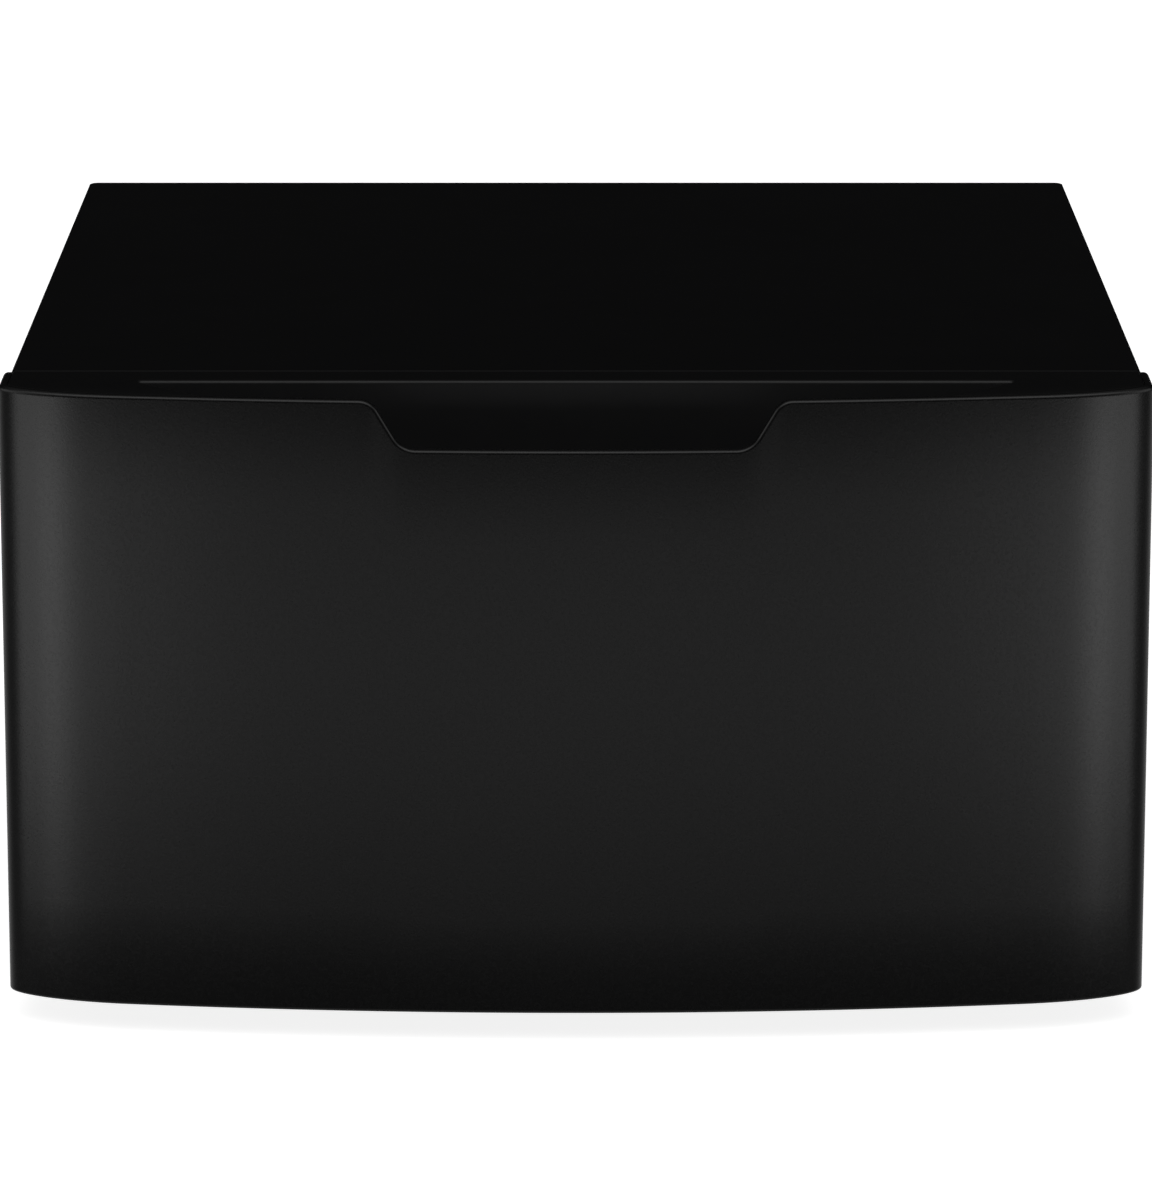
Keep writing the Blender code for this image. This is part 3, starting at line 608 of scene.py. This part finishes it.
def build_cage_balls(material):
    """The balls of each slide, in two rows along each of its cages."""
    first, last = CAGE_START_Y + BALL_INSET, CAGE_START_Y + CAGE_LENGTH - BALL_INSET
    along = spread(first, last, BALLS_IN_ROW - 1)
    for side, sign in SIDES.items():
        for cage, (from_wall, row_z) in CAGE_ROWS.items():
            bm = bmesh.new()
            for z in (SLIDE_Z - row_z, SLIDE_Z + row_z):
                for y in along:
                    place = Matrix.Translation(cabinet_point(sign * (SLIDE_OUTER_X - from_wall), y, z))
                    bmesh.ops.create_icosphere(bm, subdivisions=2, radius=BALL_RADIUS, matrix=place)
            name = f"slide_balls_{cage}_{side}"
            balls = new_object(name, mesh_of(bm, name))
            balls.data.shade_smooth()
            add_piece(balls, f"{cage}_cage_{side}", material)


def build_slide_screws(material):
    """The screws that hold each slide's drawer member to the box."""
    mesh = screw_head_mesh(SLIDE_SCREW_RADIUS, SLIDE_SCREW_HEAD)
    for side, sign in SIDES.items():
        x = sign * (SLIDE_OUTER_X - SLIDE_WEB)
        places = [(cabinet_point(x, y, SLIDE_Z), (sign, 0, 0)) for y in SLIDE_SCREW_YS]
        screws = placed_copies(f"slide_screws_{side}", mesh, places)
        add_piece(screws, "drawer", material)


def build_back_panel(material):
    """The back sheet, its field raised by a softly drawn step."""
    left, right = -BACK_HALF, BACK_HALF
    corners = [(left, BACK_LOW), (right, BACK_LOW), (right, BACK_HIGH), (left, BACK_HIGH)]
    steps = [(0, BACK_CORNER, 0)]
    for share in spread(0, 1, 8):
        rise = FIELD_RISE * (1 - math.cos(math.pi * share)) / 2
        steps.append((FIELD_INSET + FIELD_STEP * share, FIELD_CORNER, rise))
    bm = bmesh.new()
    rings = []
    for inset, radius, rise in steps:
        outline = rounded(shifted(corners, inset, closed=True), [radius] * 4, closed=True)
        rings.append([bm.verts.new(cabinet_point(x, BACK_FACE_Y + rise, z)) for x, z in outline])
    join_rings(bm, rings)
    field = bm.faces.new(rings[-1])
    bmesh.ops.recalc_face_normals(bm, faces=bm.faces)
    field.normal_update()
    if field.normal.y < 0:
        bmesh.ops.reverse_faces(bm, faces=bm.faces)
    panel = new_object("cabinet_back", mesh_of(bm, "cabinet_back", turn_outward=False))
    sheet = panel.modifiers.new("Sheet", "SOLIDIFY")
    sheet.thickness = BACK_SHEET
    sheet.offset = 1
    settle(panel)
    add_piece(panel, "cabinet", material, ["back_panel"])


def chamfered_hexagon(name, spot, radius, low, high):
    """A hexagon, its corners turned off at both ends."""
    bm = bmesh.new()
    turns = [math.tau * k / 6 for k in range(6)]
    corners = [(radius * math.cos(turn), radius * math.sin(turn)) for turn in turns]
    rings = [[bm.verts.new(spot + Vector((x, y, z))) for x, y in corners] for z in (low, high)]
    join_rings(bm, rings)
    bm.faces.new(rings[0])
    bm.faces.new(rings[1])
    obj = new_object(name, mesh_of(bm, name))
    cut, reach, flat = radius * HEXAGON_CHAMFER, radius * HEXAGON_REACH, radius * HEXAGON_FLAT
    barrel = bmesh.new()
    turned(barrel, [(flat, low), (reach, low + cut), (reach, high - cut), (flat, high)], 48)
    bmesh.ops.translate(barrel, verts=barrel.verts, vec=spot)
    cut_with(obj, "INTERSECT", mesh_of(barrel, "barrel"))
    return obj


def add_thread(bm, spot):
    """Adds the rolled thread's ridge, wound up the stud's shaft."""
    turns = int((THREAD_TOP - THREAD_BOTTOM) / THREAD_PITCH)
    root = SHAFT_RADIUS - THREAD_SINK
    ridge = [(root, -THREAD_RIDGE), (STUD_RADIUS, -THREAD_CREST)]
    ridge += [(radius, -rise) for radius, rise in reversed(ridge)]
    rings = []
    for k in range(turns * THREAD_STEPS + 1):
        angle = math.tau * k / THREAD_STEPS
        z = THREAD_BOTTOM + THREAD_PITCH * k / THREAD_STEPS
        offsets = [Vector((r * math.cos(angle), r * math.sin(angle), z + rise)) for r, rise in ridge]
        rings.append([bm.verts.new(spot + offset) for offset in offsets])
    join_rings(bm, rings)
    bm.faces.new(rings[0])
    bm.faces.new(rings[-1])


def build_stud(corner, spot, material):
    """The stud: a chamfered hexagon collar, a shaft with a point, and its thread."""
    base = PAD_HEIGHT + GAP
    stud = chamfered_hexagon(f"levelling_stud_{corner}", spot, COLLAR_RADIUS, base, COLLAR_TOP)
    bm = bmesh.new()
    shaft = [(SHAFT_RADIUS, z) for z in (PAD_HEIGHT + 2 * GAP, STUD_TOP - STUD_POINT)]
    shaft.append((SHAFT_RADIUS - STUD_POINT, STUD_TOP))
    turned(bm, shaft, 28)
    bmesh.ops.translate(bm, verts=bm.verts, vec=spot)
    add_thread(bm, spot)
    bmesh.ops.recalc_face_normals(bm, faces=bm.faces)
    bm.from_mesh(stud.data)
    bm.to_mesh(stud.data)
    bm.free()
    smooth(stud.data)
    add_piece(stud, f"foot_{corner}", material, [f"foot_stud_{corner}"])


def build_lock_nut(corner, spot, material):
    """The chamfered nut that locks the stud under the base rail."""
    nut = chamfered_hexagon(f"levelling_nut_{corner}", spot, NUT_RADIUS, NUT_TOP - NUT_HEIGHT, NUT_TOP)
    bm = bmesh.new()
    turned(bm, [(NUT_BORE, NUT_TOP - 2 * NUT_HEIGHT), (NUT_BORE, NUT_TOP + NUT_HEIGHT)], 40)
    bmesh.ops.translate(bm, verts=bm.verts, vec=spot)
    cut_with(nut, "DIFFERENCE", mesh_of(bm, "nut_bore"))
    add_piece(nut, f"nut_{corner}", material, [f"lock_nut_{corner}"])


def build_pad(corner, spot, material):
    """The moulded rubber pad, with a groove round its side."""
    bm = bmesh.new()
    turned(bm, PAD_PROFILE, 48)
    bmesh.ops.translate(bm, verts=bm.verts, vec=spot)
    pad = new_object(f"levelling_pad_{corner}", mesh_of(bm, f"levelling_pad_{corner}"))
    smooth(pad.data)
    add_piece(pad, f"foot_{corner}", material, [f"foot_pad_{corner}"])


def build_levelling_feet(zinc, rubber_material):
    for corner, (x, y) in foot_corners().items():
        spot = cabinet_point(x, y, 0)
        build_pad(corner, spot, rubber_material)
        build_stud(corner, spot, zinc)
        build_lock_nut(corner, spot, zinc)


# ---------------------------------------------------------------- materials


def set_range(node, start, stop, low, high):
    """Sets a Map Range node to take start..stop to low..high."""
    names = ("From Min", "From Max", "To Min", "To Max")
    for name, number in zip(names, (start, stop, low, high)):
        node.inputs[name].default_value = number


class Look:
    """Builds the nodes of one material around its Principled shader."""

    def __init__(self, name):
        self.material = bpy.data.materials.new(name)
        self.material.use_nodes = True
        self.nodes = self.material.node_tree.nodes
        self.links = self.material.node_tree.links
        self.shader = self.nodes["Principled BSDF"]
        self.place = self.nodes.new("ShaderNodeTexCoord").outputs["Object"]

    def set(self, **sockets):
        for name, value in sockets.items():
            self.shader.inputs[name.replace("_", " ")].default_value = value

    def stretch(self, scale):
        mapping = self.nodes.new("ShaderNodeMapping")
        mapping.inputs["Scale"].default_value = scale
        self.links.new(self.place, mapping.inputs["Vector"])
        return mapping.outputs["Vector"]

    def noise(self, scale, detail=3, roughness=0.5, along=None):
        node = self.nodes.new("ShaderNodeTexNoise")
        node.inputs["Scale"].default_value = scale
        node.inputs["Detail"].default_value = detail
        node.inputs["Roughness"].default_value = roughness
        self.links.new(self.stretch(along) if along else self.place, node.inputs["Vector"])
        return node.outputs["Fac"]

    def cells(self, scale):
        node = self.nodes.new("ShaderNodeTexVoronoi")
        node.inputs["Scale"].default_value = scale
        self.links.new(self.place, node.inputs["Vector"])
        return node.outputs["Color"]

    def ranged(self, value, low, high, start=0.0, stop=1.0):
        """value moved from start..stop to low..high."""
        node = self.nodes.new("ShaderNodeMapRange")
        set_range(node, start, stop, low, high)
        self.links.new(value, node.inputs["Value"])
        return node.outputs["Result"]

    def mixed(self, share, first, second):
        """A colour between two, by a share from 0 to 1."""
        node = self.nodes.new("ShaderNodeMix")
        node.data_type = "RGBA"
        for socket, colour in zip((node.inputs[6], node.inputs[7]), (first, second)):
            if isinstance(colour, tuple):
                socket.default_value = (*colour, 1)
            else:
                self.links.new(colour, socket)
        self.links.new(share, node.inputs[0])
        return node.outputs[2]

    def colour(self, value):
        self.links.new(value, self.shader.inputs["Base Color"])

    def roughness(self, value):
        self.links.new(value, self.shader.inputs["Roughness"])

    def bump(self, value, depth, strength=1.0):
        """Adds relief of this depth in metres, on top of what the material has already."""
        node = self.nodes.new("ShaderNodeBump")
        node.inputs["Strength"].default_value = strength
        node.inputs["Distance"].default_value = depth
        self.links.new(value, node.inputs["Height"])
        before = self.shader.inputs["Normal"]
        if before.is_linked:
            self.links.new(before.links[0].from_socket, node.inputs["Normal"])
        self.links.new(node.outputs["Normal"], before)


def front_paint():
    """Satin black powder coat with a fine even grain."""
    look = Look("front_paint")
    look.colour(look.mixed(look.noise(9, 4), (0.0030, 0.0030, 0.0031), (0.0040, 0.0040, 0.0041)))
    look.roughness(look.ranged(look.noise(420, 2), 0.23, 0.31))
    look.bump(look.noise(950, 2, 0.6), 0.045 * MM)
    return look.material


def cabinet_paint():
    """Smooth black enamel with a faint orange peel."""
    look = Look("cabinet_paint")
    look.set(Specular_IOR_Level=0.3)
    look.colour(look.mixed(look.noise(7, 4), (0.0034, 0.0034, 0.0037), (0.0046, 0.0046, 0.0050)))
    look.roughness(look.ranged(look.noise(25, 4), 0.26, 0.32))
    look.bump(look.noise(230, 2), 0.02 * MM)
    return look.material


def moulded_plastic(name, dark, light, rough, grain):
    """Plastic between two tones, with the fine grain of its mould."""
    look = Look(name)
    look.set(Specular_IOR_Level=0.35)
    look.colour(look.mixed(look.noise(14, 4), dark, light))
    look.roughness(look.ranged(look.noise(160, 3), rough - 0.05, rough + 0.06))
    look.bump(look.noise(1300, 2, 0.6), grain)
    return look.material


def cap_plastic():
    """Black moulded plastic: smooth on top like the enamel beside it, matt inside the finger pocket.
    Inside the pocket its colour is also painted lighter, as painted light for the light that falls on the
    pocket's wall through the notch.
    """
    look = Look("cap_plastic")
    look.set(Specular_IOR_Level=0.35)
    heights = look.nodes.new("ShaderNodeSeparateXYZ")
    look.links.new(look.place, heights.inputs[0])
    # Share of the pocket by height: it makes the pocket matt, and it paints the pocket's colour lighter as
    # painted light.
    pocket_share = look.ranged(heights.outputs["Z"], 1, 0, CAP_TOP - POCKET_BRIM, CAP_TOP - POCKET_BRIM / 4)
    polished = look.mixed(look.noise(14, 4), (0.0036, 0.0036, 0.0038), (0.0048, 0.0048, 0.0051))
    # Painted light: a lighter tone inside the pocket, standing for the light that falls on its wall
    # through the notch.
    painted_lit_pocket = look.mixed(look.noise(40, 4), (0.015, 0.015, 0.0155), (0.020, 0.020, 0.0205))
    look.colour(look.mixed(pocket_share, polished, painted_lit_pocket))
    look.roughness(look.ranged(pocket_share, 0.29, 0.42))
    look.bump(look.noise(1300, 2, 0.6), 0.02 * MM)
    return look.material


def box_paint():
    """Satin grey paint on sheet steel, with faint rubbed streaks."""
    look = Look("box_paint")
    base = look.mixed(look.noise(6, 5), (0.205, 0.213, 0.222), (0.238, 0.246, 0.255))
    streaks = look.ranged(look.noise(30, 5, 0.65, along=(1, 0.06, 1)), 0, 0.35, 0.55, 0.8)
    look.colour(look.mixed(streaks, base, (0.29, 0.30, 0.31)))
    look.roughness(look.ranged(look.noise(60, 4), 0.42, 0.58))
    look.bump(look.noise(260, 2), 0.03 * MM)
    return look.material


def galvanised():
    """Zinc-coated sheet with small flat crystals."""
    look = Look("galvanised")
    look.set(Metallic=0.9)
    crystals = look.cells(190)
    cloudy = look.noise(11, 5)
    tone = look.mixed(crystals, (0.50, 0.52, 0.54), (0.64, 0.66, 0.68))
    look.colour(look.mixed(look.ranged(cloudy, 0, 0.5, 0.45, 0.75), tone, (0.44, 0.45, 0.46)))
    look.roughness(look.ranged(crystals, 0.34, 0.52))
    look.bump(look.noise(150, 3), 0.02 * MM)
    return look.material


def slide_zinc():
    """Bright zinc plate over rolled steel, drawn along its length."""
    look = Look("slide_zinc")
    look.set(Metallic=1.0)
    drawn = look.noise(420, 3, 0.6, along=(1, 0.012, 1))
    look.colour(look.mixed(drawn, (0.56, 0.58, 0.61), (0.70, 0.72, 0.74)))
    look.roughness(look.ranged(drawn, 0.24, 0.42))
    look.bump(drawn, 0.01 * MM)
    return look.material


def fastener_zinc():
    """Bright zinc plate on screws, studs and nuts."""
    look = Look("fastener_zinc")
    look.set(Metallic=1.0)
    stain = look.noise(120, 5, 0.6)
    look.colour(look.mixed(stain, (0.58, 0.60, 0.64), (0.74, 0.73, 0.68)))
    look.roughness(look.ranged(look.noise(300, 3), 0.22, 0.40))
    look.bump(look.noise(900, 2), 0.008 * MM)
    return look.material


def rubber():
    """Matte black rubber with a little dust."""
    look = Look("rubber")
    look.set(Specular_IOR_Level=0.3)
    dust = look.ranged(look.noise(90, 5, 0.7), 0, 0.6, 0.5, 0.8)
    look.colour(look.mixed(dust, (0.018, 0.018, 0.018), (0.045, 0.043, 0.040)))
    look.roughness(look.ranged(look.noise(200, 3), 0.70, 0.88))
    look.bump(look.noise(1100, 3), 0.03 * MM)
    return look.material


def make_materials():
    return {
        "front_paint": front_paint(),
        "cabinet_paint": cabinet_paint(),
        "cap_plastic": cap_plastic(),
        "box_paint": box_paint(),
        "galvanised": galvanised(),
        "slide_zinc": slide_zinc(),
        "fastener_zinc": fastener_zinc(),
        "lever_plastic": moulded_plastic(
            "lever_plastic", (0.022, 0.022, 0.022), (0.032, 0.032, 0.032), 0.5, 0.04 * MM
        ),
        "divider_plastic": moulded_plastic(
            "divider_plastic", (0.26, 0.27, 0.28), (0.31, 0.32, 0.33), 0.52, 0.05 * MM
        ),
        "rubber": rubber(),
    }


def dress_cad_nodes(materials):
    """Gives every CAD node the material of its slot in the record."""
    for row in frame["record"]["subparts"]:
        node = frame["nodes"][row["node"]]
        node.data.materials.clear()
        node.data.materials.append(materials[row["material_slot"]])


# ---------------------------------------------------------------- studio


def glow(tree, strength_socket):
    """Strength of the surroundings by direction: lit overhead, at the sides, low behind and far below."""
    where = tree.nodes.new("ShaderNodeTexCoord").outputs["Generated"]
    parts = tree.nodes.new("ShaderNodeSeparateXYZ")
    tree.links.new(where, parts.inputs[0])
    x, y, z = parts.outputs

    def math_node(operation, *values):
        node = tree.nodes.new("ShaderNodeMath")
        node.operation = operation
        for socket, value in zip(node.inputs, values):
            if isinstance(value, (int, float)):
                socket.default_value = value
            else:
                tree.links.new(value, socket)
        return node.outputs[0]

    def eased(value, start, stop, top):
        node = tree.nodes.new("ShaderNodeMapRange")
        node.interpolation_type = "SMOOTHSTEP"
        set_range(node, start, stop, 0, top)
        tree.links.new(value, node.inputs["Value"])
        return node.outputs["Result"]

    # Overhead it comes mostly from before the object, and at the sides mostly from above the floor's level
    nearer = math_node("ADD", eased(math_node("MULTIPLY", y, -1), *FORWARD_SHARE), LEAST_SHARE)
    overhead = math_node("MULTIPLY", nearer, eased(z, *OVERHEAD_GLOW))
    higher = math_node("ADD", eased(z, *UPWARD_SHARE), LEAST_SHARE)
    sides = math_node("MULTIPLY", higher, eased(math_node("ABSOLUTE", x), *SIDE_GLOW))
    downward = math_node("MULTIPLY", z, -1)
    behind = math_node("MULTIPLY", eased(downward, *DOWNWARD_SHARE), eased(y, *REAR_GLOW))
    below = math_node("MAXIMUM", behind, eased(downward, *FLOOR_GLOW))
    total = math_node("ADD", math_node("ADD", overhead, sides), math_node("ADD", below, ROOM_GLOW))
    tree.links.new(total, strength_socket)


def make_world():
    world = bpy.data.worlds.new("studio")
    bpy.context.scene.world = world
    world.use_nodes = True
    background = world.node_tree.nodes["Background"]
    background.inputs["Color"].default_value = (1, 1, 1, 1)
    glow(world.node_tree, background.inputs["Strength"])


def pale_material(name, grey, emission):
    """Matt and self-lit, for the floor and the backdrop."""
    material = bpy.data.materials.new(name)
    material.use_nodes = True
    shader = material.node_tree.nodes["Principled BSDF"]
    shader.inputs["Base Color"].default_value = (grey, grey, grey, 1)
    shader.inputs["Roughness"].default_value = 0.9
    shader.inputs["Specular IOR Level"].default_value = 0.0
    shader.inputs["Emission Color"].default_value = (1, 1, 1, 1)
    shader.inputs["Emission Strength"].default_value = emission
    return material


def hide_from(obj, rays):
    """Makes the object invisible to these kinds of rays."""
    for kind in rays:
        setattr(obj, f"visible_{kind}", False)


def make_floor():
    """A pale floor that lights nothing and mirrors in nothing, so that the black paint keeps its depth."""
    bm = bmesh.new()
    bmesh.ops.create_circle(bm, cap_ends=True, segments=96, radius=FLOOR_RADIUS)
    floor = new_object("studio_floor", mesh_of(bm, "studio_floor"))
    floor.data.materials.append(pale_material("studio_floor", FLOOR_GREY, FLOOR_EMISSION))
    hide_from(floor, ("glossy", "shadow", "diffuse"))


def make_dome():
    """A pale backdrop all round, which only the camera sees."""
    bm = bmesh.new()
    bmesh.ops.create_uvsphere(bm, u_segments=48, v_segments=24, radius=DOME_RADIUS)
    bmesh.ops.reverse_faces(bm, faces=bm.faces)
    dome = new_object("studio_dome", mesh_of(bm, "studio_dome", turn_outward=False))
    dome.data.materials.append(pale_material("studio_dome", 0, DOME_EMISSION))
    hide_from(dome, ("diffuse", "glossy", "transmission", "volume_scatter", "shadow"))


def add_softbox(name, spot, target, width, height, power):
    data = bpy.data.lights.new(name, "AREA")
    data.shape = "RECTANGLE"
    data.size, data.size_y = width, height
    data.energy = power
    light = bpy.data.objects.new(name, data)
    bpy.context.scene.collection.objects.link(light)
    light.location = spot
    light.rotation_euler = (Vector(target) - Vector(spot)).to_track_quat("-Z", "Y").to_euler()
    light.visible_camera = False


def add_ring_softbox(name, azimuth_deg, height, size, power):
    """A softbox that stands round the drawer front at one azimuth, facing it."""
    turn = math.radians(azimuth_deg)
    out = Vector((math.sin(turn), -math.cos(turn), 0)) * SOFTBOX_DISTANCE
    middle = cabinet_point(0, -FRONT_DEPTH, height)
    add_softbox(name, middle + out, middle, *size, power)


def make_lights():
    add_ring_softbox("softbox_front", *FRONT_SOFTBOX)
    for side, sign in SIDES.items():
        for name, (azimuth_deg, height, size, power) in PAIRED_SOFTBOXES.items():
            add_ring_softbox(f"softbox_{name}_{side}", sign * azimuth_deg, height, size, power)


def make_camera():
    data = bpy.data.cameras.new("camera")
    data.sensor_width = CAMERA_SENSOR
    data.lens = CAMERA_LENS
    data.clip_end = CAMERA_FAR
    camera = bpy.data.objects.new("camera", data)
    bpy.context.scene.collection.objects.link(camera)
    camera.location = CAMERA_SPOT
    camera.rotation_euler = (math.radians(90 - CAMERA_TILT_DEG), 0, 0)
    bpy.context.scene.camera = camera


materials = make_materials()
dress_cad_nodes(materials)
build_front_skin(materials["front_paint"])
build_handle_cap(materials["cap_plastic"])
build_front_screws(materials["fastener_zinc"])
build_back_screws(materials["fastener_zinc"])
build_cage_balls(materials["fastener_zinc"])
build_slide_screws(materials["fastener_zinc"])
build_back_panel(materials["galvanised"])
build_levelling_feet(materials["fastener_zinc"], materials["rubber"])

make_world()
make_floor()
make_dome()
make_lights()
make_camera()
bpy.context.scene.view_settings.view_transform = "Standard"
